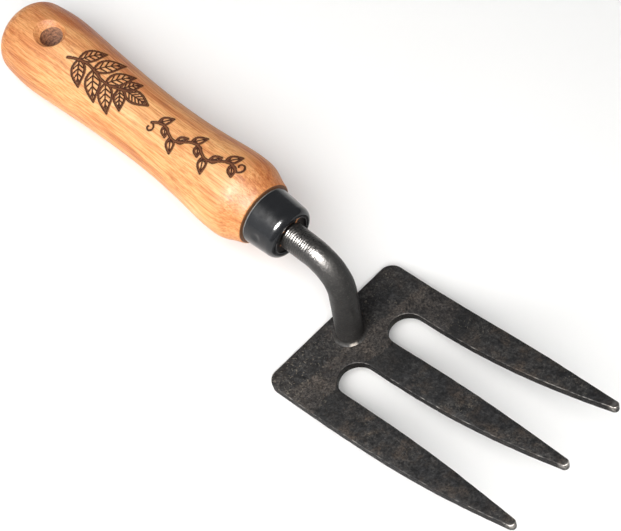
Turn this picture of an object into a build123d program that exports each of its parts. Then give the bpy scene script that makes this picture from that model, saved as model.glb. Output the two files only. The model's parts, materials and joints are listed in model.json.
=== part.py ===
from build123d import *
import os
from math import asin, cos, degrees, radians, sin

os.makedirs("parts", exist_ok=True)

# A three-tined hand fork in millimetres: a turned handle with a steel ferrule, and a bent neck bar
# that is welded to a dished blade. It lies on its heel and butt as it would on the ground. +Z is
# up, +X runs from the handle to the tips, and the origin is on the ground below the middle of the
# tool's box.

# Resting pose: the handle's axis rises towards the blade
tilt = 9.75
joint_x = -2.0
joint_z = 35.12

# Handle, measured back along its axis from the shoulder that the ferrule comes up to
handle_length = 126.6
shoulder_radius = 12.2
shoulder_round = 0.8
nose_length = 7.0
nose_middle_radius = 13.2
nose_radius = 14.7
bulge_at = 12.5
bulge_radius = 15.4
front_at = 27.0
front_radius = 14.35
waist_at = 49.0
waist_radius = 13.2
back_at = 75.5
back_radius = 13.95
swell_at = 98.0
swell_radius = 15.5
butt_at = 110.5
butt_radius = 15.95
end_round_at = 119.5
end_round_radius = 15.1
end_face_radius = 9.5
end_dome = 0.9

# Hanging hole; turns about the handle's axis are from the blade's upright towards -Y
hole_at = 104.7
hole_radius = 4.3
hole_turn = 6.6
countersink_start = 13.5
countersink_reach = 6.0

# Ferrule: a drawn cup with its front lip turned inwards
ferrule_gap = 0.3
ferrule_length = 13.0
ferrule_rear_radius = 10.8
ferrule_front_radius = 10.1
ferrule_wall = 1.1
ferrule_round = 1.9
lip_hole_radius = 7.2
rim_bevel = 0.3
dimple_at = 5.9
dimple_radius = 2.2
dimple_depth = 0.45
dimple_count = 2
dimple_turn = 73.5

# Neck bar
rod_radius = 5.0
rod_shoulder_round = 1.1
tang_radius = 3.2
tang_length = 58.0
bore_spare = 2.0
bore_cone = 4.0
spigot_clearance = 0.3
neck_straight = 9.4
bend_radius = 13.4
bend_angle = 83.0
foot_length = 24.7

# Blade: flat across, dished along its length; distances along it are from the back edge
blade_thickness = 2.8
blade_pitch = tilt + 16.0
blade_sag = 2.8
blade_length = 104.0
blade_half_width = 32.9
corner_radius = 5.0
slot_start = 18.6
slot_centre = 13.05
slot_radius = 6.8
tine_centre = 26.0
tip_radius = 1.55
edge_bevel = 0.3
dish_reach = 0.6
heel_forward = 28.7
heel_below = 38.1

# Points that the tines' edges pass through, along the blade and out from its middle
outer_edge = [(38.0, 32.2), (70.0, 30.9)]
outer_slot_edge = [(77.0, 21.5), (51.0, 19.9)]
inner_slot_edge = [(51.0, 6.05), (77.0, 4.45)]

# Weld
weld_leg = 1.5
weld_height = 1.9
weld_hollow = 0.36

# Frames: the handle's axis, seen from the side, and the blade's chord
tool_x = Vector(cos(radians(tilt)), 0, sin(radians(tilt)))
tool_z = Vector(-sin(radians(tilt)), 0, cos(radians(tilt)))
joint = Vector(joint_x, 0, joint_z)
side = Plane(origin=joint, x_dir=tool_x, z_dir=(0, -1, 0))
handle_axis = Axis(joint, tool_x)
heel = joint + tool_x * heel_forward - tool_z * heel_below
chord = Vector(cos(radians(blade_pitch)), 0, sin(radians(blade_pitch)))
blade_up = Vector(-sin(radians(blade_pitch)), 0, cos(radians(blade_pitch)))
blade = Plane(origin=heel, x_dir=chord, z_dir=blade_up)
blade_side = Plane(origin=heel, x_dir=chord, z_dir=(0, -1, 0))

# The spigot runs to the inside of the ferrule's lip
spigot_front = ferrule_length - ferrule_wall
bore_end = spigot_front - tang_length - bore_spare
taper = (ferrule_rear_radius - ferrule_front_radius) / (ferrule_length - ferrule_round)


def inside_radius(x):
    return ferrule_rear_radius - ferrule_wall - taper * (x - ferrule_gap)


# Handle
with BuildPart() as handle:
    with BuildSketch(side):
        with BuildLine():
            spigot_bevel = ferrule_round - ferrule_wall + spigot_clearance
            Polyline(
                (bore_end - bore_cone, 0),
                (bore_end, tang_radius),
                (spigot_front, tang_radius),
                (spigot_front, inside_radius(spigot_front) - spigot_bevel),
                (spigot_front - spigot_bevel, inside_radius(spigot_front - spigot_bevel)),
                (0, inside_radius(0)),
                (0, shoulder_radius - shoulder_round),
            )
            RadiusArc(
                (0, shoulder_radius - shoulder_round),
                (-shoulder_round, shoulder_radius),
                -shoulder_round,
            )
            body = Spline(
                (-shoulder_round, shoulder_radius),
                (-nose_length / 2, nose_middle_radius),
                (-nose_length, nose_radius),
                (-bulge_at, bulge_radius),
                (-front_at, front_radius),
                (-waist_at, waist_radius),
                (-back_at, back_radius),
                (-swell_at, swell_radius),
                (-butt_at, butt_radius),
                (-end_round_at, end_round_radius),
            )
            end_edge = (end_dome - handle_length, end_face_radius)
            TangentArc(body @ 1, end_edge, tangent=body % 1)
            dome_sphere = (end_face_radius**2 + end_dome**2) / (2 * end_dome)
            RadiusArc(end_edge, (-handle_length, 0), -dome_sphere)
            Line((-handle_length, 0), (bore_end - bore_cone, 0))
        make_face()
    revolve(axis=handle_axis)

    # Hanging hole, countersunk from both sides and turned about the handle's axis
    hole_up = tool_z.rotate(Axis((0, 0, 0), tool_x), hole_turn)
    hole_centre = joint - tool_x * hole_at
    with BuildSketch(Plane(origin=hole_centre, x_dir=tool_x, z_dir=tool_x.cross(hole_up))):
        with BuildLine():
            reach = 2 * butt_radius
            Polyline(
                (0, 0),
                (hole_radius, 0),
                (hole_radius, countersink_start),
                (hole_radius + countersink_reach, countersink_start + countersink_reach),
                (hole_radius + countersink_reach, reach),
                (0, reach),
                close=True,
            )
        make_face()
        mirror(about=Plane.XZ)
    revolve(axis=Axis(hole_centre, hole_up), mode=Mode.SUBTRACT)

handle.part.label = "handle"
export_step(handle.part, "parts/handle.step")

# Ferrule: a cup with a rounded front shoulder, open at both ends
with BuildPart() as ferrule:
    with BuildSketch(side):
        with BuildLine():
            inner_round = ferrule_round - ferrule_wall
            front_start = ferrule_length - ferrule_round
            Polyline(
                (ferrule_gap, inside_radius(ferrule_gap)),
                (ferrule_gap, ferrule_rear_radius - rim_bevel),
                (ferrule_gap + rim_bevel, ferrule_rear_radius),
                (front_start, ferrule_front_radius),
            )
            RadiusArc(
                (front_start, ferrule_front_radius),
                (ferrule_length, ferrule_front_radius - ferrule_round),
                ferrule_round,
            )
            Polyline(
                (ferrule_length, ferrule_front_radius - ferrule_round),
                (ferrule_length, lip_hole_radius),
                (spigot_front, lip_hole_radius),
                (spigot_front, inside_radius(spigot_front) - inner_round),
                (spigot_front - inner_round, inside_radius(spigot_front - inner_round)),
                (ferrule_gap, inside_radius(ferrule_gap)),
            )
        make_face()
    revolve(axis=handle_axis)

    # Punched dimples that hold the ferrule on the wood
    dimple_sphere = (dimple_radius**2 + dimple_depth**2) / (2 * dimple_depth)
    dimple_axis_distance = ferrule_rear_radius - taper * dimple_at + dimple_sphere - dimple_depth
    for step in range(dimple_count):
        turn = dimple_turn + step * 360 / dimple_count
        outward = tool_z.rotate(Axis((0, 0, 0), tool_x), turn)
        with Locations(joint + tool_x * dimple_at + outward * dimple_axis_distance):
            Sphere(dimple_sphere, mode=Mode.SUBTRACT)

ferrule.part.label = "ferrule"
export_step(ferrule.part, "parts/ferrule.step")

# Blade outline: one half, from the middle of the back edge round to the middle tine's tip
with BuildPart() as fork_head:
    with BuildSketch(blade):
        with BuildLine():
            tip_start = blade_length - tip_radius
            slot_round = slot_start + slot_radius
            Line((0, 0), (0, blade_half_width - corner_radius))
            RadiusArc(
                (0, blade_half_width - corner_radius),
                (corner_radius, blade_half_width),
                corner_radius,
            )
            Spline(
                (corner_radius, blade_half_width),
                *outer_edge,
                (tip_start, tine_centre + tip_radius),
            )
            ThreePointArc(
                (tip_start, tine_centre + tip_radius),
                (blade_length, tine_centre),
                (tip_start, tine_centre - tip_radius),
            )
            Spline(
                (tip_start, tine_centre - tip_radius),
                *outer_slot_edge,
                (slot_round, slot_centre + slot_radius),
            )
            ThreePointArc(
                (slot_round, slot_centre + slot_radius),
                (slot_start, slot_centre),
                (slot_round, slot_centre - slot_radius),
            )
            Spline(
                (slot_round, slot_centre - slot_radius),
                *inner_slot_edge,
                (tip_start, tip_radius),
            )
            RadiusArc((tip_start, tip_radius), (blade_length, 0), tip_radius)
            Line((blade_length, 0), (0, 0))
        make_face()
        mirror(about=Plane.XZ)
    extrude(amount=2 * (blade_thickness + blade_sag), both=True)

    # Dish: keep only a shallow arched band of the blade's thickness
    with BuildSketch(blade_side):
        with BuildLine():
            dish_radius = blade_length**2 / (8 * blade_sag) + blade_sag / 2
            middle = blade_length / 2
            centre = (middle, dish_radius - blade_sag)
            spread = degrees(asin(dish_reach * blade_length / dish_radius))
            top = CenterArc(centre, dish_radius, 270 - spread, 2 * spread)
            bottom = CenterArc(centre, dish_radius + blade_thickness, 270 - spread, 2 * spread)
            Line(top @ 0, bottom @ 0)
            Line(top @ 1, bottom @ 1)
        make_face()
    extrude(amount=2 * blade_half_width, both=True, mode=Mode.INTERSECT)
    top_and_bottom = fork_head.faces().sort_by(SortBy.AREA)[-2:]
    chamfer(top_and_bottom[0].edges() + top_and_bottom[1].edges(), edge_bevel)

fork_head.part.label = "fork_head"
export_step(fork_head.part, "parts/fork_head.step")

# Neck: tang, shoulder and bent bar, with its foot cut to the blade's top face
with BuildPart() as neck:
    rod_start = joint + tool_x * spigot_front
    foot_overlap = blade_thickness / 2
    with BuildLine(side) as route:
        bend_start = (ferrule_length + neck_straight, 0)
        Line((spigot_front, 0), bend_start)
        bend = JernArc(bend_start, (1, 0), bend_radius, -bend_angle)
        Line(bend @ 1, (bend @ 1) + (bend % 1) * (foot_length + foot_overlap))
    with BuildSketch(Plane(origin=rod_start, z_dir=tool_x)):
        Circle(rod_radius)
    sweep(path=route.line)
    rod_back = neck.edges().filter_by(GeomType.CIRCLE).sort_by(Axis(joint, tool_x))[0]
    fillet(rod_back, rod_shoulder_round)
    with BuildSketch(Plane(origin=rod_start, z_dir=tool_x)):
        Circle(tang_radius)
    extrude(amount=-tang_length)
    add(fork_head.part, mode=Mode.SUBTRACT)

neck.part.label = "neck"
export_step(neck.part, "parts/neck.step")

# Weld bead: a concave fillet round the foot, square to the blade where the bar stands on it
with BuildPart() as weld_bead:
    foot_end = (bend @ 1) + (bend % 1) * foot_length
    dish_centre = heel + chord * middle + blade_up * (dish_radius - blade_sag)
    weld_up = (dish_centre - foot_end).normalized()
    with BuildSketch(Plane(origin=foot_end, x_dir=(0, 1, 0), z_dir=Vector(0, 1, 0).cross(weld_up))):
        with BuildLine():
            Polyline(
                (0, -foot_overlap),
                (rod_radius + weld_leg, -foot_overlap),
                (rod_radius + weld_leg, 0),
            )
            ThreePointArc(
                (rod_radius + weld_leg, 0),
                (rod_radius + weld_hollow * weld_leg, weld_hollow * weld_height),
                (rod_radius, weld_height),
            )
            Polyline((rod_radius, weld_height), (0, weld_height), (0, -foot_overlap))
        make_face()
    revolve(axis=Axis(foot_end, weld_up))
    add(neck.part, mode=Mode.SUBTRACT)
    add(fork_head.part, mode=Mode.SUBTRACT)

weld_bead.part.label = "weld_bead"
export_step(weld_bead.part, "parts/weld_bead.step")
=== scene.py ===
import json
import math

import bmesh
import bpy
import numpy as np
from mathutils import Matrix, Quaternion, Vector, geometry, noise


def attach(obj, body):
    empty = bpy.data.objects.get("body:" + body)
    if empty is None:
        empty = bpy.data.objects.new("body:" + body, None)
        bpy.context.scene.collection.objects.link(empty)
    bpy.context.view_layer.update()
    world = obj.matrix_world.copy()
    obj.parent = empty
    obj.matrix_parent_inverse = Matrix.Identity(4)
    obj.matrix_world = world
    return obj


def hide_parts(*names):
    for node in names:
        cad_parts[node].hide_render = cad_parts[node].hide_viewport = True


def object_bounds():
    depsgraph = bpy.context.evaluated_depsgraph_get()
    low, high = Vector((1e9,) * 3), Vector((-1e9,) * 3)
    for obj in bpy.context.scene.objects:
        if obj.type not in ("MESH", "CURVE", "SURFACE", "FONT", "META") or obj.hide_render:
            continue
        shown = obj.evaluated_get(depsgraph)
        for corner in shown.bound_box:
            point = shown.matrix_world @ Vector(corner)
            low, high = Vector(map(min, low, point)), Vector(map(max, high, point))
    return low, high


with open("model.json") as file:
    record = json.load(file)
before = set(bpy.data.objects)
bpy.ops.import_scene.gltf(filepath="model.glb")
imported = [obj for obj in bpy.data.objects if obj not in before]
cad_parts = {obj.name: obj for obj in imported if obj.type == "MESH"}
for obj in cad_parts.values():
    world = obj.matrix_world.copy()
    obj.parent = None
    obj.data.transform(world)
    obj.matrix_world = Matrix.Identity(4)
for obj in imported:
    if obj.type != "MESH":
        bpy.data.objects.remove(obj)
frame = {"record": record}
cad_low, cad_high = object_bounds()

# A small three-tined hand fork: turned handle, ferrule, bent neck bar, dished blade and weld.
# Shapes are worked out in millimetres and turned into metres when a mesh is made. "Tool" points
# are (x along the handle's axis towards the blade, y across, z up from the blade), measured from
# the shoulder where the handle meets the ferrule.
MM = 0.001
SEED_STEP = (17.3, 5.1, 9.7)
WHITE = (1.0, 1.0, 1.0, 1.0)
ACROSS = np.array([0.0, 1.0, 0.0])

# Handle: the rows of HANDLE_OUTLINE, and END_EDGE, are (distance back from the shoulder, radius)
SHOULDER_ROUND = 0.8
SHOULDER_RADIUS = 12.2
HANDLE_OUTLINE = [
    (SHOULDER_ROUND, SHOULDER_RADIUS),
    (3.5, 13.2),
    (7.0, 14.7),
    (12.5, 15.4),
    (27.0, 14.35),
    (49.0, 13.2),
    (75.5, 13.95),
    (98.0, 15.5),
    (110.5, 15.95),
    (119.5, 15.1),
]
END_EDGE = (125.7, 9.5)
HANDLE_LENGTH = 126.6
TANG_RADIUS = 3.2
TANG_LENGTH = 58.0
HOLE_AT = 104.7
HOLE_RADIUS = 4.3
COUNTERSINK_START = 13.5

# Burnt motif: its strokes are drawn in (x, distance round a roll of ART_RADIUS)
ART_RADIUS = 14.0
ART_DEGREES = (-66, 52)
NO_MARK = 5.0
GROOVE_DEPTH = 0.28
GROOVE_WALL = 0.25
STEM_START = -4.2
STEM_DRIFT = 3.4
STEM_SWAY = 1.5
STEM_HALF = 0.50

# Ferrule: its front shoulder is a quarter of an ellipse, SHOULDER_DEPTH long, FERRULE_ROUND high
FERRULE_GAP = 0.3
FERRULE_LENGTH = 13.0
FERRULE_REAR = 10.8
FERRULE_FRONT = 10.1
FERRULE_WALL = 1.1
FERRULE_BORE = FERRULE_REAR - FERRULE_WALL
FERRULE_ROUND = 1.9
SHOULDER_DEPTH = 2.9
LIP_HOLE = 7.2
LIP_ROUND = 0.25
RIM_BEVEL = 0.3
INSIDE_BEVEL = 0.8
DIMPLE_AT = 5.9
DIMPLE_REACH = 2.2
DIMPLE_DEPTH = 0.45
DIMPLE_TURN = math.radians(-73.5)

# Spigot: the end of the handle that fills the ferrule, up to the back of its lip
SPIGOT_FRONT = FERRULE_LENGTH - FERRULE_WALL
SPIGOT_FACE = 7.9
SPIGOT_BEVEL = 1.1
SPIGOT_TAPER = 0.7

# Neck bar
ROD = 5.0
ROD_SHOULDER = 1.1
BEND_START = 22.4
BEND_RADIUS = 13.4
BEND_ANGLE = math.radians(83.0)
FOOT_LENGTH = 24.7

# Blade: u runs along it from the back edge, v across it
PITCH_FROM_AXIS = math.radians(16.0)
THICKNESS = 2.8
LENGTH = 104.0
HALF_WIDTH = 32.9
SAG = 2.8
DISH = LENGTH**2 / (8 * SAG) + SAG / 2
CORNER = 5.0
SLOT_START = 18.6
SLOT_CENTRE = 13.05
SLOT_RADIUS = 6.8
TINE_CENTRE = 26.0
TIP_RADIUS = 1.55
EDGE_ROUND = 0.30
HEEL_FORWARD = 28.7
HEEL_BELOW = 38.1

# Brown band across the blade: where it starts, and the v and u of points on its far edge
BAND_START = 14.0
BAND_SLANT = 0.10
BAND_END_V = [-33, -26, -10, 0, 8, 20, 33]
BAND_END_U = [24, 22, 22, 25, 25, 37, 34]

# Weld
WELD_LEG = 1.5
WELD_HEIGHT = 1.9


def unit(vector):
    return vector / np.linalg.norm(vector)


# The tool's axes, from the hanging hole's mount
mount = next(m for m in frame["record"]["mounts"] if m["name"] == "hanging_hole")
hole_axis = unit(np.array(mount["axis"]))
hole_centre = np.array(mount["pos_m"]) / MM
TOOL_Z = unit(hole_axis * (1, 0, 1))
TOOL_X = np.cross(ACROSS, TOOL_Z)
JOINT = hole_centre + TOOL_X * HOLE_AT
TILT = math.atan2(TOOL_X[2], TOOL_X[0])
HEEL = JOINT + TOOL_X * HEEL_FORWARD - TOOL_Z * HEEL_BELOW
CHORD = np.array([math.cos(TILT + PITCH_FROM_AXIS), 0, math.sin(TILT + PITCH_FROM_AXIS)])
BLADE_UP = np.cross(CHORD, ACROSS)


# ---------------- geometry helpers


def smoothstep(low, high, value):
    share = np.clip((value - low) / (high - low), 0, 1)
    return share * share * (3 - 2 * share)


def smooth_curve(points, count):
    """A natural cubic through the points, spaced by chord length, as `count` points."""
    points = np.array(points, float)
    knots = np.insert(np.cumsum(np.linalg.norm(np.diff(points, axis=0), axis=1)), 0, 0)
    gaps = np.diff(knots)
    last = len(points) - 1
    system = np.eye(last + 1)
    target = np.zeros_like(points)
    slopes = np.diff(points, axis=0) / gaps[:, None]
    for i in range(1, last):
        system[i, i - 1 : i + 2] = gaps[i - 1], 2 * (gaps[i - 1] + gaps[i]), gaps[i]
        target[i] = 6 * (slopes[i] - slopes[i - 1])
    bend = np.linalg.solve(system, target)
    at = np.linspace(0, knots[-1], count)
    span = np.clip(np.searchsorted(knots, at, side="right") - 1, 0, last - 1)
    gap = gaps[span][:, None]
    left = (at - knots[span])[:, None]
    right = gap - left
    curved = (bend[span] * right**3 + bend[span + 1] * left**3) / (6 * gap)
    before = (points[span] / gap - bend[span] * gap / 6) * right
    after = (points[span + 1] / gap - bend[span + 1] * gap / 6) * left
    return curved + before + after


def arc(centre, radius, start, end, count):
    """Points round a circle from the start angle to the end angle, in degrees."""
    angles = np.radians(np.linspace(start, end, count))
    return np.column_stack(
        [centre[0] + radius * np.cos(angles), centre[1] + radius * np.sin(angles)]
    )


def tangent_arc(start, direction, end, count):
    """Points on the circle that leaves start in that direction and passes through end."""
    start, end = np.array(start, float), np.array(end, float)
    normal = np.array([-direction[1], direction[0]])
    reach = end - start
    radius = reach @ reach / (2 * normal @ reach)
    centre = start + normal * radius
    first = math.atan2(*(start - centre)[::-1])
    last = math.atan2(*(end - centre)[::-1])
    turn = (last - first + math.pi) % (2 * math.pi) - math.pi
    return arc(centre, abs(radius), math.degrees(first), math.degrees(first + turn), count)


def full_turn(count):
    return np.linspace(0, 2 * math.pi, count, endpoint=False)


def tool_point(x, y, z):
    return JOINT + np.multiply.outer(x, TOOL_X) + np.multiply.outer(y, ACROSS) + np.multiply.outer(
        z, TOOL_Z
    )


def revolved(profile, turns):
    """Rings of tool-frame points: profile rows are (x, radius), turns go from up towards +Y."""
    x, radius = np.repeat(profile[:, :1], len(turns), axis=1), profile[:, 1]
    return tool_point(x, np.outer(radius, np.sin(turns)), np.outer(radius, np.cos(turns)))


def ring_mesh(rings, capped):
    """Vertices and faces of a tube of rings, with fan caps, or joined end to end if not capped."""
    rows, columns = rings.shape[:2]
    vertices = rings.reshape(-1, 3)
    faces = []
    for i in range(rows - 1 if capped else rows):
        low, high = i * columns, (i + 1) % rows * columns
        for j in range(columns):
            k = (j + 1) % columns
            faces.append((low + j, low + k, high + k, high + j))
    if capped:
        centres = [rings[0].mean(axis=0), rings[-1].mean(axis=0)]
        vertices = np.vstack([vertices, centres])
        for row, centre in ((0, rows * columns), (rows - 1, rows * columns + 1)):
            for j in range(columns):
                faces.append((row * columns + j, row * columns + (j + 1) % columns, centre))
    return vertices, faces


def place_in_scene(name, data):
    placed = bpy.data.objects.new(name, data)
    bpy.context.scene.collection.objects.link(placed)
    return placed


def make_object(name, vertices, faces, materials):
    """A smooth-shaded closed mesh object, from millimetres, with its normals outwards."""
    mesh = bpy.data.meshes.new(name)
    mesh.from_pydata((np.asarray(vertices) * MM).tolist(), [], faces)
    build = bmesh.new()
    build.from_mesh(mesh)
    bmesh.ops.recalc_face_normals(build, faces=build.faces)
    build.to_mesh(mesh)
    build.free()
    mesh.shade_smooth()
    for material in materials:
        mesh.materials.append(material)
    return place_in_scene(name, mesh)


def add_field(piece, name, values):
    """Stores one number per vertex, for the material to read."""
    field = piece.data.attributes.new(name, "FLOAT", "POINT")
    field.data.foreach_set("value", np.asarray(values, np.float32))


def vertex_array(piece):
    """The piece's vertices in millimetres."""
    flat = np.empty(len(piece.data.vertices) * 3, np.float32)
    piece.data.vertices.foreach_get("co", flat)
    return flat.reshape(-1, 3).astype(float) / MM


def set_vertices(piece, vertices):
    piece.data.vertices.foreach_set("co", (vertices * MM).astype(np.float32).ravel())
    piece.data.update()


def rough_noise(points, size, seed):
    """Smooth noise of about -1..1 at each point; size is the width of its lumps."""
    shift = Vector([seed * step for step in SEED_STEP])
    return np.array([noise.noise(Vector(p) / size + shift) for p in points])


def finish_piece(piece, node, sharp_above):
    piece.data.set_sharp_from_angle(angle=math.radians(sharp_above))
    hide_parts(node)
    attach(piece, "root")


# ---------------- material helpers


class Shader:
    """A material's node tree, with short ways to add nodes and join them."""

    def __init__(self, name):
        self.material = bpy.data.materials.new(name)
        self.material.use_nodes = True
        self.tree = self.material.node_tree
        self.surface = self.tree.nodes["Principled BSDF"]

    def add(self, kind, inputs, **settings):
        node = self.tree.nodes.new(kind)
        for key, value in settings.items():
            setattr(node, key, value)
        self.connect(node, inputs)
        return node

    def connect(self, node, inputs):
        for key, value in inputs.items():
            if isinstance(value, bpy.types.NodeSocket):
                self.tree.links.new(value, node.inputs[key])
            else:
                node.inputs[key].default_value = value

    def finish(self, inputs):
        """Joins these to the surface, and gives the finished material."""
        self.connect(self.surface, inputs)
        return self.material

    def place(self):
        """Position on the object, in metres, in the tool's own axes."""
        here = self.add("ShaderNodeTexCoord", {}).outputs["Object"]
        turned = self.add("ShaderNodeMapping", {"Vector": here, "Rotation": (0, TILT, 0)})
        return turned.outputs["Vector"]

    def noise(self, vector, scale, detail=3.0, roughness=0.55, distortion=0.0):
        names = ("Vector", "Scale", "Detail", "Roughness", "Distortion")
        inputs = dict(zip(names, (vector, scale, detail, roughness, distortion)))
        return self.add("ShaderNodeTexNoise", inputs).outputs["Fac"]

    def streaks(self, place, scales, detail=3.0, roughness=0.55, distortion=0.0):
        """Noise with its own scale along the handle, across it and up."""
        stretched = self.add("ShaderNodeMapping", {"Vector": place, "Scale": scales})
        return self.noise(stretched.outputs["Vector"], 1.0, detail, roughness, distortion)

    def cells(self, vector, scale):
        inputs = {"Vector": vector, "Scale": scale}
        return self.add("ShaderNodeTexVoronoi", inputs).outputs["Distance"]

    def field(self, name):
        return self.add("ShaderNodeAttribute", {}, attribute_name=name).outputs["Fac"]

    def maths(self, operation, first, second):
        inputs = {0: first, 1: second}
        return self.add("ShaderNodeMath", inputs, operation=operation).outputs["Value"]

    def rescale(self, value, low, high, new_low=0.0, new_high=1.0):
        names = ("Value", "From Min", "From Max", "To Min", "To Max")
        inputs = dict(zip(names, (value, low, high, new_low, new_high)))
        return self.add("ShaderNodeMapRange", inputs).outputs["Result"]

    def ramp(self, value, *stops):
        """Colour by value; each stop is (position, red, green, blue)."""
        node = self.add("ShaderNodeValToRGB", {"Fac": value})
        elements = node.color_ramp.elements
        while len(elements) < len(stops):
            elements.new(1.0)
        for element, stop in zip(elements, stops):
            element.position = stop[0]
            element.color = (*stop[1:], 1.0)
        return node.outputs["Color"]

    def mix(self, share, first, second, blend="MIX"):
        """One colour over another; the colour sockets of a Mix node are numbers 6, 7 and 2."""
        inputs = {0: share, 6: first, 7: second}
        node = self.add("ShaderNodeMix", inputs, data_type="RGBA", blend_type=blend)
        return node.outputs[2]

    def tint(self, colour, by, share=1.0):
        """The colour multiplied by another one."""
        return self.mix(share, colour, by, "MULTIPLY")

    def bump(self, height, strength, distance, under=None):
        inputs = {"Height": height, "Strength": strength, "Distance": distance}
        if under is not None:
            inputs["Normal"] = under
        return self.add("ShaderNodeBump", inputs).outputs["Normal"]


def wood_grain(shader):
    """Colour, groove height and blotch value of pale wood with its grain along the handle."""
    shade_and_age_tint, pore_brown = (0.76, 0.55, 0.44, 1.0), (0.33, 0.11, 0.04, 1.0)
    place = shader.place()
    broad = shader.streaks(place, (9, 130, 130), 3.0, 0.55, 0.6)
    streak = shader.streaks(place, (34, 900, 900), 4.0, 0.66, 0.3)
    hair = shader.streaks(place, (90, 2400, 2400), 3.0, 0.65)
    pores = shader.streaks(place, (330, 4200, 4200), 2.0, 0.5)
    half_broad = shader.maths("MULTIPLY", broad, 0.5)
    tone = shader.maths("ADD", half_broad, shader.maths("MULTIPLY", streak, 0.5))
    colour = shader.ramp(
        tone,
        (0.37, 0.58, 0.200, 0.070),
        (0.44, 0.74, 0.305, 0.115),
        (0.52, 0.88, 0.455, 0.185),
        (0.61, 0.94, 0.570, 0.270),
    )
    lines = shader.ramp(hair, (0.40, 0.74, 0.60, 0.46), (0.55, 1.0, 1.0, 1.0))
    colour = shader.tint(colour, lines, 0.85)
    # painted shade: darker on the far side, and towards the nose and butt together with darker
    # wood
    colour = shader.tint(colour, shader.mix(shader.field("shade_and_age"), WHITE, shade_and_age_tint))
    dots = shader.rescale(pores, 0.62, 0.72)
    colour = shader.mix(shader.maths("MULTIPLY", dots, 0.45), colour, pore_brown)
    height = shader.maths("SUBTRACT", hair, shader.maths("MULTIPLY", dots, 0.8))
    return colour, height, broad


def handle_wood():
    """Oiled wood, with the burnt motif read from the distance to its nearest line."""
    shader = Shader("handle_wood")
    gap_shade_brown = (0.130, 0.055, 0.024, 1.0)
    colour, height, broad = wood_grain(shader)
    place = shader.place()
    flutter = shader.rescale(shader.noise(place, 2600.0, 2.0), 0.25, 0.75, -0.10, 0.10)
    mark = shader.maths("ADD", shader.field("mark"), flutter)
    depth = shader.rescale(mark, -0.6, 0.8)
    burnt = shader.ramp(
        depth,
        (0.08, 0.210, 0.075, 0.032),
        (0.24, 0.120, 0.040, 0.018),
        (0.37, 0.028, 0.009, 0.005),
        (0.45, 0.070, 0.022, 0.009),
        (0.70, 0.42, 0.15, 0.05),
    )
    amount = shader.ramp(
        depth,
        (0.40, 1.0, 1.0, 1.0),
        (0.47, 0.72, 0.72, 0.72),
        (0.56, 0.24, 0.24, 0.24),
        (0.82, 0.0, 0.0, 0.0),
    )
    colour = shader.mix(amount, colour, burnt)
    # painted shade: the brown line in the gap by the ferrule
    colour = shader.mix(shader.field("gap_shade"), colour, gap_shade_brown)
    gloss = shader.rescale(broad, 0.3, 0.7, 0.34, 0.46)
    gloss = shader.maths("MAXIMUM", gloss, shader.maths("MULTIPLY", amount, 0.75))
    normal = shader.bump(height, 0.40, 0.0004)
    lumps = shader.streaks(place, (300, 620, 620), 3.0)
    normal = shader.bump(lumps, 0.18, 0.0009, normal)
    return shader.finish(
        {
            "Base Color": colour,
            "Roughness": gloss,
            "Normal": normal,
            "Specular IOR Level": shader.rescale(amount, 0.0, 1.0, 0.16, 0.04),
        }
    )


def bored_wood():
    """The drilled wall of the hanging hole: dark and rough, with torn fibres."""
    shader = Shader("bored_wood")
    place = shader.place()
    fibres = shader.streaks(place, (260, 900, 900), 4.0, 0.65)
    colour = shader.ramp(fibres, (0.34, 0.11, 0.042, 0.020), (0.62, 0.60, 0.26, 0.115))
    return shader.finish(
        {
            "Base Color": colour,
            "Roughness": shader.rescale(fibres, 0.2, 0.8, 0.7, 0.95),
            "Normal": shader.bump(fibres, 0.6, 0.0005),
        }
    )


def dark_spigot_wood():
    """The spigot's end inside the ferrule: black, with bare wood only in spots."""
    shader = Shader("dark_spigot_wood")
    place = shader.place()
    spots = shader.noise(place, 420.0, 2.0, 0.5)
    colour = shader.ramp(
        spots,
        (0.56, 0.012, 0.010, 0.009),
        (0.62, 0.10, 0.040, 0.020),
        (0.68, 0.60, 0.26, 0.11),
    )
    normal = shader.bump(spots, 0.5, 0.0006)
    return shader.finish({"Base Color": colour, "Roughness": 0.7, "Normal": normal})


def ferrule_steel():
    """Smooth blue-black steel, with its rims worn brighter and painted with a highlight."""
    shader = Shader("ferrule_steel")
    worn_and_highlight_grey = (0.42, 0.41, 0.39, 1.0)
    place = shader.place()
    cloud = shader.noise(place, 240.0, 4.0, 0.6)
    fine = shader.streaks(place, (2400, 700, 700), 3.0, 0.6)
    colour = shader.ramp(cloud, (0.30, 0.0100, 0.0106, 0.0125), (0.70, 0.0165, 0.0172, 0.0198))
    rub = shader.rescale(fine, 0.3, 0.6, 0.4, 1.0)
    wear_and_highlight = shader.maths("MULTIPLY", shader.field("wear_and_highlight"), rub)
    # wear and painted highlight: the rims are mixed towards light grey
    colour = shader.mix(wear_and_highlight, colour, worn_and_highlight_grey)
    gloss = shader.rescale(cloud, 0.3, 0.7, 0.15, 0.20)
    normal = shader.bump(fine, 0.05, 0.0002)
    return shader.finish(
        {
            "Base Color": colour,
            "Metallic": shader.rescale(wear_and_highlight, 0.0, 1.0, 0.25, 0.6),
            "Roughness": gloss,
            "Normal": normal,
            "Specular IOR Level": 0.5,
        }
    )


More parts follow.
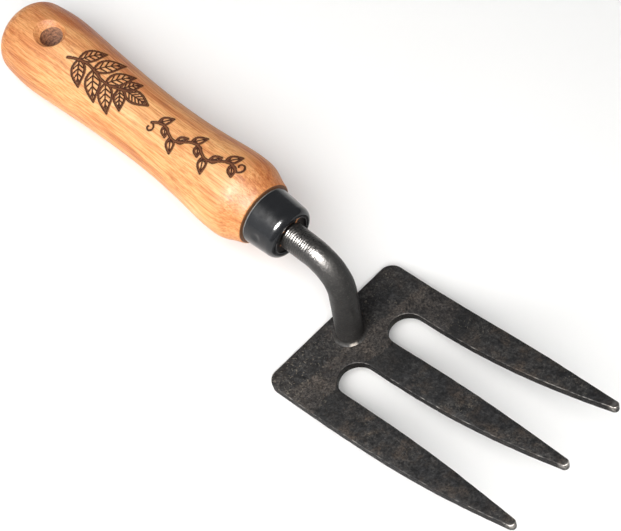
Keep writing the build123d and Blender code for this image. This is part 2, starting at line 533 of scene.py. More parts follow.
def neck_steel():
    """Blackened bar with a finely pitted skin, semi-gloss by the ferrule and dull at the foot."""
    shader = Shader("neck_steel")
    ash_grey = (0.070, 0.062, 0.058, 1.0)
    place = shader.place()
    polish = shader.field("polish")
    cloud = shader.noise(place, 160.0, 4.0, 0.6)
    grit = shader.noise(place, 1500.0, 3.0, 0.65)
    pits = shader.rescale(shader.cells(place, 1700.0), 0.1, 0.5)
    colour = shader.ramp(cloud, (0.30, 0.0120, 0.0120, 0.0120), (0.72, 0.0260, 0.0252, 0.0245))
    ash = shader.rescale(grit, 0.52, 0.70, 0.0, 0.45)
    colour = shader.mix(ash, colour, ash_grey)
    gloss = shader.rescale(grit, 0.3, 0.7, 0.24, 0.38)
    gloss = shader.maths("ADD", gloss, shader.rescale(polish, 0.0, 1.0, 0.22, 0.0))
    normal = shader.bump(grit, 0.22, 0.0003)
    normal = shader.bump(pits, 0.15, 0.0002, normal)
    return shader.finish(
        {
            "Base Color": colour,
            "Metallic": shader.rescale(polish, 0.0, 1.0, 0.1, 0.4),
            "Roughness": gloss,
            "Normal": normal,
            "Specular IOR Level": shader.rescale(polish, 0.0, 1.0, 0.3, 0.75),
            "Specular Tint": (1.0, 0.97, 0.95, 1.0),
        }
    )


def mill_scale(shader, place, mottle):
    """Mottled blue-black scale, rusted more towards the tips."""
    scale = shader.ramp(
        mottle,
        (0.36, 0.0062, 0.0065, 0.0072),
        (0.48, 0.0124, 0.0124, 0.0129),
        (0.62, 0.0225, 0.0222, 0.0222),
    )
    rust_brown = (0.028, 0.0220, 0.0178, 1.0)
    rust = shader.rescale(shader.noise(place, 210.0, 5.0, 0.65), 0.47, 0.63)
    spread = shader.rescale(shader.field("beyond"), -2.0, 14.0, 0.25, 0.85)
    return shader.mix(shader.maths("MULTIPLY", rust, spread), scale, rust_brown)


def heat_marks(shader, place, scale, mottle):
    """The scale, browned in a ragged band and scorched black just beyond it."""
    scorched = (0.0058, 0.0058, 0.0062, 1.0)
    brown = shader.ramp(mottle, (0.34, 0.0175, 0.0152, 0.0138), (0.60, 0.0350, 0.0305, 0.0275))
    ragged = shader.rescale(shader.noise(place, 130.0, 6.0, 0.62), 0.3, 0.7, -1.5, 1.5)
    band = shader.maths("ADD", shader.field("band"), ragged)
    colour = shader.mix(shader.rescale(band, -0.35, 0.35), scale, brown)
    beyond = shader.maths("SUBTRACT", shader.field("beyond"), ragged)
    fading = shader.rescale(beyond, 4.0, 16.0, 0.62, 0.0)
    scorch = shader.maths("MULTIPLY", shader.rescale(beyond, -0.35, 0.35), fading)
    return shader.mix(scorch, colour, scorched)


def grime(shader, place, colour, grit):
    """The colour with a gritty grain, lighter and darker patches, black spots and dusty flecks."""
    spot_black, dust = (0.0035, 0.0035, 0.0040, 1.0), (0.11, 0.098, 0.080, 1.0)
    grain = shader.ramp(grit, (0.38, 0.38, 0.38, 0.40), (0.62, 1.75, 1.73, 1.70))
    colour = shader.tint(colour, grain)
    patch = shader.ramp(
        shader.noise(place, 75.0, 4.0, 0.6, 0.8),
        (0.38, 0.60, 0.62, 0.68),
        (0.50, 0.97, 0.97, 0.98),
        (0.64, 1.35, 1.28, 1.22),
    )
    colour = shader.tint(colour, patch)
    spots = shader.rescale(shader.noise(place, 760.0, 3.0, 0.6), 0.59, 0.65, 0.0, 0.85)
    colour = shader.mix(spots, colour, spot_black)
    flecks = shader.rescale(shader.noise(place, 1150.0, 1.0, 0.5, 0.6), 0.63, 0.68)
    dusty = shader.rescale(shader.noise(place, 90.0, 2.0), 0.50, 0.66, 0.0, 0.55)
    dusty = shader.maths("MAXIMUM", dusty, shader.field("dusty"))
    return shader.mix(shader.maths("MULTIPLY", flecks, dusty), colour, dust)


def blade_steel():
    """Dark mill scale, brown where it was heated, light where its edges are worn and carry painted
    highlights.
    """
    shader = Shader("blade_steel")
    place = shader.place()
    wall_shade, bare_steel_and_highlight = (0.42, 0.40, 0.38, 1.0), (0.30, 0.285, 0.265, 1.0)
    mottle = shader.noise(place, 480.0, 6.0, 0.68, 0.5)
    grit = shader.noise(place, 1250.0, 4.0, 0.7)
    colour = heat_marks(shader, place, mill_scale(shader, place, mottle), mottle)
    colour = grime(shader, place, colour, grit)
    # painted shade: the edge walls are darkened
    colour = shader.tint(colour, shader.mix(shader.field("side"), WHITE, wall_shade))
    # wear and painted highlight: edge rims and tips are mixed to light steel
    rub = shader.rescale(mottle, 0.40, 0.60, 0.10, 1.0)
    wear_and_highlight = shader.maths("MULTIPLY", shader.field("wear_and_highlight"), rub)
    normal = shader.bump(grit, 0.45, 0.0003)
    return shader.finish(
        {
            "Base Color": shader.mix(wear_and_highlight, colour, bare_steel_and_highlight),
            "Metallic": shader.rescale(wear_and_highlight, 0.0, 1.0, 0.30, 0.9),
            "Roughness": shader.rescale(mottle, 0.3, 0.7, 0.42, 0.62),
            "Normal": shader.bump(mottle, 0.25, 0.0006, normal),
            "Specular IOR Level": 0.15,
        }
    )


def weld_steel():
    """Dark, heat-browned weld metal with a painted highlight streak."""
    shader = Shader("weld_steel")
    painted_highlight_beige = (0.44, 0.39, 0.34, 1.0)
    place = shader.place()
    mottle = shader.noise(place, 700.0, 5.0, 0.6)
    colour = shader.ramp(mottle, (0.32, 0.008, 0.0075, 0.007), (0.70, 0.022, 0.019, 0.017))
    # painted highlight: a light streak low on the fillet's front
    colour = shader.mix(shader.field("wear_and_highlight"), colour, painted_highlight_beige)
    return shader.finish(
        {
            "Base Color": colour,
            "Roughness": shader.rescale(mottle, 0.3, 0.7, 0.55, 0.8),
            "Normal": shader.bump(mottle, 0.4, 0.0005),
            "Specular IOR Level": 0.2,
        }
    )


def floor_paint():
    """A plain pale floor, very slightly uneven."""
    shader = Shader("floor_paint")
    here = shader.add("ShaderNodeTexCoord", {}).outputs["Object"]
    cloud = shader.noise(here, 3.0, 2.0)
    colour = shader.ramp(cloud, (0.3, 0.90, 0.90, 0.90), (0.7, 0.93, 0.93, 0.93))
    return shader.finish({"Base Color": colour, "Roughness": 0.9})


# ---------------- handle


def leaf(base, heading, length, width, veins):
    """A pointed leaf as strokes: two edges, a midrib and side veins.

    A stroke is (points, half width), here and below.
    """
    edge_half, vein_half = 0.42, 0.20
    fullness = 0.8
    midrib_end = 0.86
    first_vein, last_vein = 0.18, 0.70
    vein_reach, vein_spread, vein_lead = 0.16, 0.40, 0.14
    along = np.linspace(0, 1, 17)
    bulge = 0.5 * width * np.sin(math.pi * along**fullness)
    strokes = [
        (np.column_stack([length * along, bulge]), edge_half),
        (np.column_stack([length * along, -bulge]), edge_half),
        (np.array([(0, 0), (midrib_end * length, 0)]), vein_half),
    ]
    for share in np.linspace(first_vein, last_vein, veins):
        ahead = min(share + vein_lead, 1.0)
        rise = vein_spread * width * math.sin(math.pi * ahead**fullness)
        for flip in (1, -1):
            ends = [(share * length, 0), ((share + vein_reach) * length, flip * rise)]
            strokes.append((np.array(ends), vein_half))
    cos, sin = math.cos(heading), math.sin(heading)
    turn = np.array([(cos, sin), (-sin, cos)])
    return [(points @ turn + base, half) for points, half in strokes]


def curl(base, size, start, sweep):
    """A small spiral tendril that starts at the base."""
    tendril_half, shrink = 0.30, 0.75
    share = np.linspace(0, 1, 18)
    angles = start + sweep * share
    radius = size * (1 - shrink * share)
    points = np.column_stack([radius * np.cos(angles), radius * np.sin(angles)])
    return [(points - points[0] + base, tendril_half)]


def stem_point(x, tail, tip, wave):
    """A point on a wavy stem, which drifts round the handle a little from its tail to its tip."""
    drift = STEM_START + STEM_DRIFT * (x - tail) / (tip - tail)
    return np.array([x, drift + STEM_SWAY * math.sin(2 * math.pi * (x - tail) / wave)])


def sprig():
    """A leafy sprig near the butt: pairs of leaves along a stem, and one at its tip."""
    tail, tip = -92.0, -66.0

    def stem(x):
        return stem_point(x, tail, tip, tip - tail)

    strokes = [(np.array([stem(x) for x in np.linspace(tail, tip, 24)]), STEM_HALF)]
    # share of the stem, leaf length, leaf width
    pairs = [(0.16, 9.8, 5.0), (0.44, 11.6, 5.8), (0.72, 11.0, 5.4), (0.94, 8.2, 4.2)]
    for share, length, width in pairs:
        base = stem(tail + share * (tip - tail))
        strokes += leaf(base, math.radians(62), length, width, veins=4)
        strokes += leaf(base, math.radians(-52), length, width, veins=4)
    strokes += leaf(stem(tip), math.radians(4), 11.0, 5.2, veins=5)
    return strokes


def vine():
    """A wavy stem with small leaves and tendrils, between the sprig and the ferrule."""
    tail, tip = -49.0, -11.0
    wave = 15.2

    def stem(x):
        return stem_point(x, tail, tip, wave)

    strokes = [(np.array([stem(x) for x in np.linspace(tail, tip, 70)]), STEM_HALF)]
    crests = np.arange(tail + 0.25 * wave, tip, 0.5 * wave)
    for number, x in enumerate(crests):
        side = -1 if number % 2 else 1
        strokes += leaf(stem(x - 0.10 * wave), side * math.radians(58), 5.6, 3.0, veins=2)
        strokes += leaf(stem(x + 0.08 * wave), side * math.radians(-50), 4.2, 2.4, veins=2)
    strokes += curl(stem(tip), 2.2, math.radians(-90), math.radians(300))
    strokes += curl(stem(tail), 2.0, math.radians(100), math.radians(-300))
    return strokes


def stroke_distance(points, strokes):
    """How far each point lies outside the nearest stroke; negative inside it."""
    nearest = np.full(len(points), NO_MARK)
    for line, half in strokes:
        for start, end in zip(line[:-1], line[1:]):
            run = end - start
            share = np.clip((points - start) @ run / (run @ run), 0, 1)
            gap = np.linalg.norm(points - start - share[:, None] * run, axis=1) - half
            np.minimum(nearest, gap, out=nearest)
    return nearest


def handle_profile():
    """The handle's outline from its bore round to its butt, dense where the motif is burnt."""
    curve = smooth_curve([(-x, r) for x, r in HANDLE_OUTLINE], 600)
    end_edge = (-END_EDGE[0], END_EDGE[1])
    end_arc = tangent_arc(curve[-1], unit(curve[-1] - curve[-2]), end_edge, 16)
    # the butt is a shallow dome, part of a sphere, down to a small ring at its pole
    rise, pole_ring = HANDLE_LENGTH - END_EDGE[0], 1.2
    sphere = (END_EDGE[1] ** 2 + rise**2) / (2 * rise)
    dome_r = np.linspace(END_EDGE[1], pole_ring, 9)[1:]
    dome_x = sphere - HANDLE_LENGTH - np.sqrt(sphere**2 - dome_r**2)
    fine_from, fine_to, side_end = -7.5, -93.0, -HANDLE_OUTLINE[-1][0]
    nose_step, fine_step, butt_rows = 0.45, 0.22, 44
    side_x = np.concatenate(
        [
            np.arange(-SHOULDER_ROUND, fine_from, -nose_step),
            np.arange(fine_from, fine_to, -fine_step),
            np.linspace(fine_to, side_end, butt_rows),
        ]
    )
    side_r = np.interp(-side_x, -curve[:, 0], curve[:, 1])
    spigot = [
        (SPIGOT_FRONT - TANG_LENGTH, TANG_RADIUS),
        (SPIGOT_FRONT, TANG_RADIUS),
        (SPIGOT_FRONT, SPIGOT_FACE),
        (SPIGOT_FRONT - SPIGOT_BEVEL, FERRULE_BORE - SPIGOT_TAPER),
        (0, FERRULE_BORE),
    ]
    round_centre = (-SHOULDER_ROUND, SHOULDER_RADIUS - SHOULDER_ROUND)
    shoulder = arc(round_centre, SHOULDER_ROUND, 0, 90, 6)[:-1]
    side, dome = np.column_stack([side_x, side_r]), np.column_stack([dome_x, dome_r])
    return np.vstack([spigot, shoulder, side, end_arc[1:], dome])


def hole_cutter(materials):
    """A closed tool in the shape of the hanging hole with both its countersinks."""
    reach = 20.0
    flare = HOLE_RADIUS + reach - COUNTERSINK_START
    heights = [-reach, -COUNTERSINK_START, COUNTERSINK_START, reach]
    radii = [flare, HOLE_RADIUS, HOLE_RADIUS, flare]
    turns = full_turn(72)
    sideways = np.cross(hole_axis, TOOL_X)
    circle = np.outer(np.cos(turns), TOOL_X) + np.outer(np.sin(turns), sideways)
    rings = [hole_centre + hole_axis * h + r * circle for h, r in zip(heights, radii)]
    vertices, faces = ring_mesh(np.array(rings), capped=True)
    cutter = make_object("hole_cutter", vertices, faces, materials)
    for face in cutter.data.polygons:
        middle = np.array(face.center) / MM - hole_centre
        if abs(middle @ hole_axis) < COUNTERSINK_START:
            face.material_index = 1
    return cutter


def cut_hole(handle, materials):
    """Cuts the hanging hole, whose wall between the countersinks keeps the cutter's material."""
    cutter = hole_cutter(materials)
    cut = handle.modifiers.new("hole", "BOOLEAN")
    cut.object = cutter
    cut.operation = "DIFFERENCE"
    cut.solver = "EXACT"
    cut.material_mode = "TRANSFER"
    bpy.context.view_layer.update()
    evaluated = handle.evaluated_get(bpy.context.evaluated_depsgraph_get())
    handle.data = bpy.data.meshes.new_from_object(evaluated)
    handle.modifiers.clear()
    bpy.data.objects.remove(cutter)


def burn_motif(handle, x, turn, radius):
    """Sinks the motif as a shallow groove, and stores the distance to its edge for the colour."""
    art_rear, art_front, widest, innermost = -95, -5, math.radians(70), 10
    marked = (x > art_rear) & (x < art_front) & (np.abs(turn) < widest) & (radius > innermost)
    distance = np.full(len(x), NO_MARK)
    unrolled = np.column_stack([x, turn * ART_RADIUS])[marked]
    distance[marked] = stroke_distance(unrolled, sprig() + vine())
    depth = GROOVE_DEPTH * smoothstep(0, GROOVE_WALL, -distance)
    vertices = vertex_array(handle)
    outward = vertices - JOINT - np.outer(x, TOOL_X)
    outward /= np.maximum(radius, 1e-6)[:, None]
    set_vertices(handle, vertices - outward * depth[:, None])
    add_field(handle, "mark", np.clip(distance, -1, 2))


def shade_and_age_wood(handle, x, turn, radius):
    """Stores where the wood is darkened, as painted shade on the far side and as painted shade
    with darker wood towards the nose and butt, and the brown painted shade line in the gap by the
    ferrule.
    """
    # painted shade on the far side; towards the nose and butt, painted shade together with darker
    # wood
    far_side_shade = smoothstep(0.0, 0.85, np.sin(turn))
    nose, butt = smoothstep(-14, -3, x), smoothstep(92, 112, -x)
    shade_and_age = 0.80 * far_side_shade + nose * (0.50 + 0.5 * far_side_shade) + butt * (0.50 + 0.4 * far_side_shade)
    add_field(handle, "shade_and_age", np.clip(shade_and_age, 0, 1))
    # painted shade: a brown line on the shoulder's edge, in the gap by the ferrule
    gap_shade_radius = SHOULDER_RADIUS - SHOULDER_ROUND / 2
    add_field(handle, "gap_shade", (x > -SHOULDER_ROUND) & (radius < gap_shade_radius))


def make_handle():
    art_from, art_to = ART_DEGREES
    art_turns = np.radians(np.linspace(art_from, art_to, 142))
    back_turns = np.radians(np.linspace(art_to, art_from + 360, 60)[1:-1])
    turns = np.concatenate([art_turns, back_turns])
    vertices, faces = ring_mesh(revolved(handle_profile(), turns), capped=True)
    materials = [handle_wood(), bored_wood(), dark_spigot_wood()]
    handle = make_object("turned_handle", vertices, faces, materials)
    touching = 0.01
    for face in handle.data.polygons:
        if (np.array(face.center) / MM - JOINT) @ TOOL_X > SPIGOT_FRONT - touching:
            face.material_index = 2
    cut_hole(handle, materials)
    tool = vertex_array(handle) - JOINT
    x, across, up = tool @ TOOL_X, tool @ ACROSS, tool @ TOOL_Z
    turn, radius = np.arctan2(across, up), np.hypot(across, up)
    burn_motif(handle, x, turn, radius)
    shade_and_age_wood(handle, x, turn, radius)
    finish_piece(handle, "handle", sharp_above=38)


# ---------------- ferrule


def ferrule_profile():
    """The ferrule's closed section, and how brightly each point of it is worn and painted with
    highlight.
    """
    rim_x, side_end = FERRULE_GAP + RIM_BEVEL, FERRULE_LENGTH - SHOULDER_DEPTH
    rim = arc((rim_x, FERRULE_REAR - RIM_BEVEL), RIM_BEVEL, 180, 90, 5)
    side_x = np.linspace(rim_x, side_end, 30)[1:]
    side_r = np.interp(side_x, [rim_x, side_end], [FERRULE_REAR, FERRULE_FRONT])
    quarter = np.linspace(0, math.pi / 2, 16)[1:]
    shoulder_x = side_end + SHOULDER_DEPTH * np.sin(quarter)
    shoulder_r = FERRULE_FRONT - FERRULE_ROUND * (1 - np.cos(quarter))
    lip_r = LIP_HOLE + LIP_ROUND
    lip_front = arc((FERRULE_LENGTH - LIP_ROUND, lip_r), LIP_ROUND, 0, -90, 4)
    lip_back = arc((SPIGOT_FRONT + LIP_ROUND, lip_r), LIP_ROUND, 270, 180, 4)
    inside_front = FERRULE_FRONT - FERRULE_WALL
    inside = [
        (SPIGOT_FRONT, inside_front - INSIDE_BEVEL),
        (SPIGOT_FRONT - INSIDE_BEVEL, inside_front),
        (FERRULE_GAP, FERRULE_BORE),
    ]
    # the rear rim is worn bright and painted with a highlight, and the lip a little
    parts = [
        (rim, 1.0),
        (np.column_stack([side_x, side_r]), 0.0),
        (np.column_stack([shoulder_x, shoulder_r]), 0.0),
        (lip_front, 0.05),
        (lip_back, 0.0),
        (np.array(inside), 0.0),
    ]
    wear_and_highlight = np.concatenate([np.full(len(points), value) for points, value in parts])
    return np.vstack([points for points, _ in parts]), wear_and_highlight


def punch_dimples(rings, profile, turns):
    """The two punched dimples that hold the ferrule on the wood, on opposite sides."""
    outward = np.outer(np.sin(turns), ACROSS) + np.outer(np.cos(turns), TOOL_Z)
    for centre in (DIMPLE_TURN, DIMPLE_TURN + math.pi):
        around = (turns - centre + math.pi) % (2 * math.pi) - math.pi
        across = np.outer(profile[:, 1], around)
        gap = np.hypot(across, (profile[:, 0] - DIMPLE_AT)[:, None])
        dent = DIMPLE_DEPTH * (1 - smoothstep(0, DIMPLE_REACH, gap))
        rings = rings - dent[:, :, None] * outward[None]
    return rings


def make_ferrule():
    profile, wear_and_highlight = ferrule_profile()
    turns = full_turn(160)
    rings = punch_dimples(revolved(profile, turns), profile, turns)
    vertices, faces = ring_mesh(rings, capped=False)
    ferrule = make_object("drawn_ferrule", vertices, faces, [ferrule_steel()])
    add_field(ferrule, "wear_and_highlight", np.repeat(wear_and_highlight, len(turns)))
    finish_piece(ferrule, "ferrule", sharp_above=40)


# ---------------- neck and weld


def foot_frame():
    """Where the bend ends and the foot starts, and the direction down the foot, in tool (x, z)."""
    bend_end = np.array([BEND_START, -BEND_RADIUS]) + BEND_RADIUS * np.array(
        [math.sin(BEND_ANGLE), math.cos(BEND_ANGLE)]
    )
    down = np.array([math.cos(BEND_ANGLE), -math.sin(BEND_ANGLE)])
    return bend_end, down


def bar_places():
    """Places along the bar from its shoulder to its buried foot, as (x, z, heading, radius)."""
    fine_step, step, bury = 0.10, 0.35, 0.3
    straight_from = SPIGOT_FRONT + ROD_SHOULDER + fine_step
    places = [(x, 0.0, 0.0, ROD) for x in np.arange(straight_from, BEND_START, fine_step)]
    for angle in np.linspace(0, BEND_ANGLE, 120):
        x = BEND_START + BEND_RADIUS * math.sin(angle)
        z = BEND_RADIUS * (math.cos(angle) - 1)
        places.append((x, z, angle, ROD))
    bend_end, down = foot_frame()
    for along in np.arange(step, FOOT_LENGTH + bury, step):
        places.append((*(bend_end + down * along), BEND_ANGLE, ROD))
    return places


def skin_swell(points):
    """How far the bar's skin stands out: pits all over, and fine cross ribs up to the bend."""
    pit_depth, pit_size = 0.030, 0.8
    wave_depth, wave_size = 0.05, 3.5
    rib_pitch, rib_height, falling = 0.86, 0.115, 0.50
    warp_share, warp_size = 0.28, 1.8
    sunk = 0.08
    pits = pit_depth * rough_noise(points, pit_size, seed=3)
    pits += wave_depth * rough_noise(points, wave_size, seed=4)
    travel = (points - JOINT) @ TOOL_X
    phase = (travel / rib_pitch + warp_share * rough_noise(points, warp_size, seed=5)) % 1
    falls, rises = 1 - phase / falling, (phase - falling) / (1 - falling)
    ribs = rib_height * np.where(phase < falling, falls, rises)
    ribs *= 1 - smoothstep(BEND_START - 2.0, BEND_START + 6.0, travel)
    ribs *= np.clip(0.75 + 0.5 * rough_noise(points, 2.0, seed=6), 0.3, 1.1)
    return pits + ribs - sunk


def make_neck():
    """Smooth tang, rounded shoulder and rough-skinned bent bar, as rings along a centre line."""
    shoulder_centre = (SPIGOT_FRONT + ROD_SHOULDER, ROD - ROD_SHOULDER)
    shoulder = arc(shoulder_centre, ROD_SHOULDER, 180, 90, 7)
    tang = [(SPIGOT_FRONT - TANG_LENGTH, TANG_RADIUS), (SPIGOT_FRONT, TANG_RADIUS), *shoulder]
    turns = full_turn(120)
    rings = []
    for x, z, heading, radius in [(x, 0.0, 0.0, r) for x, r in tang] + bar_places():
        ring_x = x + radius * np.cos(turns) * math.sin(heading)
        ring_z = z + radius * np.cos(turns) * math.cos(heading)
        rings.append(tool_point(ring_x, radius * np.sin(turns), ring_z))
    rings = np.array(rings)
    bar = rings[len(tang) :]
    centres = bar.mean(axis=1, keepdims=True)
    swell = skin_swell(bar.reshape(-1, 3)).reshape(len(bar), len(turns), 1)
    bar += (bar - centres) / ROD * swell
    vertices, faces = ring_mesh(rings, capped=True)
    neck = make_object("neck_bar", vertices, faces, [neck_steel()])
    # polished near the ferrule, dull past the bend; the last two are the tang's and foot's caps
    forward = (rings.reshape(-1, 3) - JOINT) @ TOOL_X
    polish = 1 - smoothstep(BEND_START + 2.0, BEND_START + 12.0, forward)
    add_field(neck, "polish", np.append(polish, [1, 0]))
    finish_piece(neck, "neck", sharp_above=75)


def weld_profile():
    """The fillet's closed section as (radius, height), and how many of its last rows are hidden.

    The visible face is concave: a quarter of an ellipse whose centre is outside the corner.
    """
    quarter = np.linspace(0, math.pi / 2, 14)
    face_r = ROD + WELD_LEG * (1 - np.cos(quarter))
    face_h = WELD_HEIGHT * (1 - np.sin(quarter))
    sunk, into_rod, below_top = -0.9, 0.6, 0.2
    hidden = [
        (ROD + WELD_LEG, sunk),
        (ROD - into_rod, sunk),
        (ROD - into_rod, WELD_HEIGHT - below_top),
    ]
    return np.vstack([np.column_stack([face_r, face_h]), hidden]), len(hidden)


def make_weld():
    """A fillet of weld round the foot, square to the blade there, with faint ripples."""
    bend_end, down = foot_frame()
    end_x, end_z = bend_end + down * FOOT_LENGTH
    foot_end = tool_point(end_x, 0.0, end_z)
    dish_centre = HEEL + CHORD * LENGTH / 2 + BLADE_UP * (DISH - SAG)
    up = unit(dish_centre - foot_end)
    profile, hidden = weld_profile()
    turns = full_turn(96)
    outward = np.outer(np.cos(turns), np.cross(up, ACROSS)) + np.outer(np.sin(turns), ACROSS)
    rings = foot_end + profile[:, 1, None, None] * up + profile[:, 0, None, None] * outward[None]
    lump_depth, lump_size = 0.12, 1.6
    ripple_depth, ripple_count = 0.05, 26
    lumps = lump_depth * rough_noise(rings.reshape(-1, 3), lump_size, seed=7)
    ripple = ripple_depth * np.sin(ripple_count * turns)[None, :, None]
    strength = np.ones(len(profile))
    strength[-hidden:] = 0
    swell = lumps.reshape(len(profile), -1, 1) + ripple
    rings = rings + outward[None] * swell * strength[:, None, None]
    vertices, faces = ring_mesh(rings, capped=False)
    weld = make_object("weld_fillet", vertices, faces, [weld_steel()])
    # a short painted highlight streak at the front, low on the fillet
    spot_turn, spot_width, spot_height = math.radians(33), math.radians(14), 0.35
    reach = vertices - foot_end
    turn = np.arctan2(-reach @ ACROSS, reach @ CHORD) - spot_turn
    ends = 1 - smoothstep(0.5 * spot_width, 1.3 * spot_width, np.abs(turn))
    middle = 1 - smoothstep(0.15, 0.6, np.abs(reach @ up - spot_height))
    add_field(weld, "wear_and_highlight", ends * middle)
    finish_piece(weld, "weld_bead", sharp_above=50)


# ---------------- blade


def half_outline():
    """One half of the blade's outline, from the back edge's middle to the middle tine's tip."""
    tip_start = LENGTH - TIP_RADIUS
    slot_round = SLOT_START + SLOT_RADIUS
    # points (u, v) that each long edge is curved through
    outer = [
        (CORNER, HALF_WIDTH),
        (38.0, 32.2),
        (70.0, 30.9),
        (tip_start, TINE_CENTRE + TIP_RADIUS),
    ]
    inner = [
        (tip_start, TINE_CENTRE - TIP_RADIUS),
        (77.0, 21.5),
        (51.0, 19.9),
        (slot_round, SLOT_CENTRE + SLOT_RADIUS),
    ]
    middle = [
        (slot_round, SLOT_CENTRE - SLOT_RADIUS),
        (51.0, 6.05),
        (77.0, 4.45),
        (tip_start, TIP_RADIUS),
    ]
    parts = [
        np.array([(0.0, 0.0), (0.0, HALF_WIDTH - CORNER)]),
        arc((CORNER, HALF_WIDTH - CORNER), CORNER, 180, 90, 16),
        smooth_curve(outer, 120),
        arc((tip_start, TINE_CENTRE), TIP_RADIUS, 90, -90, 16),
        smooth_curve(inner, 100),
        arc((slot_round, SLOT_CENTRE), SLOT_RADIUS, 90, 270, 40),
        smooth_curve(middle, 100),
        arc((tip_start, 0.0), TIP_RADIUS, 90, 0, 9),
    ]
    return np.vstack(parts)


def blade_outline(step):
    """The whole outline as evenly spaced points, with their inward normals."""
    half = half_outline()
    loop = np.vstack([half, half[-2:0:-1] * (1, -1)])
    loop = np.vstack([loop, loop[:1]])
    lengths = np.insert(np.cumsum(np.linalg.norm(np.diff(loop, axis=0), axis=1)), 0, 0)
    at = np.linspace(0, lengths[-1], int(lengths[-1] / step), endpoint=False)
    points = np.column_stack([np.interp(at, lengths, loop[:, k]) for k in (0, 1)])
    tangent = np.roll(points, -1, axis=0) - np.roll(points, 1, axis=0)
    tangent /= np.linalg.norm(tangent, axis=1)[:, None]
    normal = np.column_stack([tangent[:, 1], -tangent[:, 0]])
    return points, normal


def inside(points, loop):
    """Which points lie inside the closed loop."""
    ahead = np.roll(loop, -1, axis=0)
    crossings = np.zeros(len(points), int)
    for (u0, v0), (u1, v1) in zip(loop, ahead):
        spans = (v0 > points[:, 1]) != (v1 > points[:, 1])
        if v0 != v1:
            cut = u0 + (points[:, 1] - v0) / (v1 - v0) * (u1 - u0)
            crossings += spans & (points[:, 0] < cut)
    return crossings % 2 == 1


def face_triangles(loop, grid_step):
    """Triangles over the flat face inside the loop, with an even grid of points within it."""
    grid_u, grid_v = np.meshgrid(
        np.arange(1.0, LENGTH, grid_step), np.arange(-HALF_WIDTH, HALF_WIDTH, grid_step)
    )
    grid = np.column_stack([grid_u.ravel(), grid_v.ravel()])
    grid = grid[inside(grid, loop)]
    edge_gap = 0.6 * grid_step
    clear = [np.min(np.sum((loop - p) ** 2, axis=1)) > edge_gap**2 for p in grid]
    points = np.vstack([loop, grid[clear]])
    only_inside, tolerance = 1, 1e-5
    made = geometry.delaunay_2d_cdt(
        [Vector(p) for p in points], [], [list(range(len(loop)))], only_inside, tolerance
    )
    new_faces, first_points = made[2], made[3]
    triangles = [tuple(first_points[k][0] for k in face) for face in new_faces]
    return points[len(loop) :], triangles


def blade_point(u, v, drop):
    """Row-frame points on the dished blade, that far below its top face."""
    lift = DISH - SAG - np.sqrt((DISH + drop) ** 2 - (u - LENGTH / 2) ** 2)
    return HEEL + np.multiply.outer(u, CHORD) + np.multiply.outer(v, ACROSS) + np.multiply.outer(
        lift, BLADE_UP
    )


def blade_noise(u, v, size, seed):
    return rough_noise(np.column_stack([u, v, 0 * u]), size, seed)


def edge_rings():
    """Rings from the top face round the edge to the underside, as (inset, drop)."""
    part_way, nearly = 0.42 * EDGE_ROUND, 0.13 * EDGE_ROUND
    rim = [(EDGE_ROUND, 0.0), (part_way, nearly), (nearly, part_way), (0.0, EDGE_ROUND)]
    wall = [(0.0, 0.36 * THICKNESS), (0.0, 0.64 * THICKNESS)]
    under = [(inset, THICKNESS - drop) for inset, drop in reversed(rim)]
    return rim + wall + under


def blade_faces(ring_count, count, grid_count, triangles):
    """Quads between the edge rings, and the triangles on both the top and the underside."""
    faces = []
    for ring in range(ring_count - 1):
        low, high = ring * count, (ring + 1) * count
        for j in range(count):
            i = (j + 1) % count
            faces.append((low + j, low + i, high + i, high + j))
    last = (ring_count - 1) * count
    grid_top = ring_count * count
    grid_under = grid_top + grid_count
    for triangle in triangles:
        top = [k if k < count else grid_top + k - count for k in triangle]
        under = [last + k if k < count else grid_under + k - count for k in triangle]
        faces += [tuple(top), tuple(reversed(under))]
    return faces


def add_blade_fields(blade, u, v, count, grid_count):
    """Stores worn edges and tips with painted highlights, painted shade on the walls, dust and the
    brown band, for the blade's material to read.
    """

    def on_rings(*values):
        """One value for each edge ring, from the top to the underside, and none on the faces."""
        return np.append(np.repeat(values, count), np.zeros(2 * grid_count))

    # edge rims and tips: painted highlight as well as wear
    at_edge = on_rings(0.0, 0.50, 0.35, 0.0, 0.0, 0.0, 0.0, 0.3, 0.3, 0.0)
    at_tip = on_rings(0.2, 0.9, 1.4, 1.2, 1.0, 0.5, 0.4, 0.9, 0.9, 0.4)
    tip_from, tip_to = 100.5, 103.2
    broken = 0.30 + 1.2 * blade_noise(u, v, 1.6, seed=31) + 0.6 * blade_noise(u, v, 9.0, seed=32)
    wear_and_highlight = at_edge * np.clip(broken, 0, 1) + at_tip * smoothstep(tip_from, tip_to, u)
    add_field(blade, "wear_and_highlight", wear_and_highlight)
    # painted shade on the edge walls
    add_field(blade, "side", on_rings(0, 0, 0.5, 1, 1, 1, 1, 0.5, 0, 0))
    dusty_u, dusty_v, dusty_squash = 4, -31, 0.7
    corner_gap = np.hypot(u - dusty_u, dusty_squash * (v - dusty_v))
    add_field(blade, "dusty", 0.8 * (1 - smoothstep(5, 24, corner_gap)))
    # how far inside the brown band each point is, and how far beyond it
    band_end = np.interp(v, BAND_END_V, BAND_END_U)
    band = np.minimum(u - (BAND_START + BAND_SLANT * v), band_end - u)
    add_field(blade, "band", np.clip(band, -8, 8))
    add_field(blade, "beyond", np.clip(u - band_end, -8, 30))


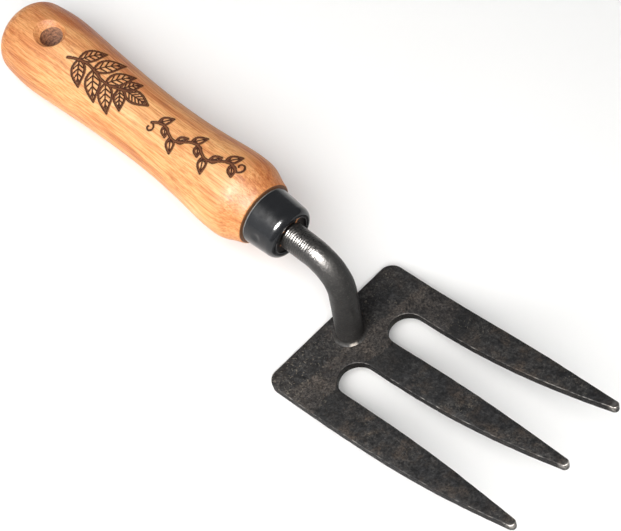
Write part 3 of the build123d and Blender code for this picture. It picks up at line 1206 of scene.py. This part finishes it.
def make_blade():
    nibble_depth, nibble_size = 0.07, 3.0
    sway_height, sway_size = 0.16, 16.0
    points, normal = blade_outline(step=0.42)
    nibble = nibble_depth * (1 + blade_noise(*points.T, nibble_size, seed=11))
    points = points + normal * nibble[:, None]
    rings = edge_rings()
    flats = [points + normal * inset for inset, _ in rings]
    grid, triangles = face_triangles(flats[0], grid_step=2.0)
    count, grid_count = len(points), len(grid)
    u, v = np.vstack([*flats, grid, grid]).T
    drops = [np.full(count, drop) for _, drop in rings]
    drop = np.concatenate([*drops, np.zeros(grid_count), np.full(grid_count, THICKNESS)])
    vertices = blade_point(u, v, drop)
    sway = sway_height * blade_noise(u, v, sway_size, seed=21)
    vertices += np.multiply.outer(sway * smoothstep(4, 22, u), BLADE_UP)
    faces = blade_faces(len(rings), count, grid_count, triangles)
    blade = make_object("tined_blade", vertices, faces, [blade_steel()])
    add_blade_fields(blade, u, v, count, grid_count)
    finish_piece(blade, "fork_head", sharp_above=40)


# ---------------- studio


def add_floor():
    """A plain square of floor, six metres out on every side."""
    reach = 6.0
    mesh = bpy.data.meshes.new("floor")
    corners = [(-reach, -reach, 0), (reach, -reach, 0), (reach, reach, 0), (-reach, reach, 0)]
    mesh.from_pydata(corners, [], [(0, 1, 2, 3)])
    mesh.materials.append(floor_paint())
    floor = place_in_scene("floor", mesh)


def add_area_light(name, towards, distance, size, watts, colour):
    """A light of that width and height, in that direction from the object and aimed at it."""
    light = bpy.data.lights.new(name, "AREA")
    light.shape = "RECTANGLE"
    light.size, light.size_y = size
    light.energy = watts
    light.color = colour
    lamp = place_in_scene(name, light)
    direction = Vector(towards).normalized()
    lamp.location = (cad_low + cad_high) / 2 + direction * distance
    lamp.rotation_mode = "QUATERNION"
    lamp.rotation_quaternion = (-direction).to_track_quat("-Z", "Y")
    return lamp


def add_lights():
    """A soft key and fill from the tool's right, and a small lamp that only makes highlights."""
    key = add_area_light(
        "key",
        towards=(0.25, -0.50, 0.83),
        distance=0.80,
        size=(0.60, 0.60),
        watts=7.8,
        colour=(1.0, 0.985, 0.96),
    )
    key.visible_glossy = False
    glint = add_area_light(
        "glint",
        towards=(-0.09, -0.45, 0.886),
        distance=0.75,
        size=(0.15, 0.36),
        watts=52.0,
        colour=(1.0, 0.98, 0.95),
    )
    glint.visible_diffuse = False
    add_area_light(
        "side_fill",
        towards=(-0.35, -1.0, 0.40),
        distance=0.90,
        size=(0.80, 0.80),
        watts=1.7,
        colour=(0.94, 0.97, 1.0),
    )


def add_world(strength):
    world = bpy.data.worlds.new("studio")
    world.use_nodes = True
    background = world.node_tree.nodes["Background"]
    background.inputs["Color"].default_value = (0.96, 0.98, 1.0, 1.0)
    background.inputs["Strength"].default_value = strength
    bpy.context.scene.world = world


def add_camera():
    """Looks down on the tool from its right, with the handle running to the upper left."""
    azimuth, elevation, roll = math.radians(32.78), math.radians(64.34), math.radians(11.59)
    distance = 0.4278
    aim = Vector((18.4, 3.1, -3.5)) * MM
    data = bpy.data.cameras.new("camera")
    data.lens = 71.7
    data.sensor_width = 36.0
    data.clip_start, data.clip_end = 0.01, 50.0
    camera = place_in_scene("camera", data)
    flat = math.cos(elevation)
    back = Vector((math.sin(azimuth) * flat, -math.cos(azimuth) * flat, math.sin(elevation)))
    camera.location = (cad_low + cad_high) / 2 + aim + back * distance
    camera.rotation_mode = "QUATERNION"
    camera.rotation_quaternion = (-back).to_track_quat("-Z", "Y") @ Quaternion((0, 0, 1), roll)
    bpy.context.scene.camera = camera


make_handle()
make_ferrule()
make_neck()
make_weld()
make_blade()
add_floor()
add_world(strength=0.30)
add_lights()
add_camera()
bpy.context.scene.view_settings.view_transform = "Standard"
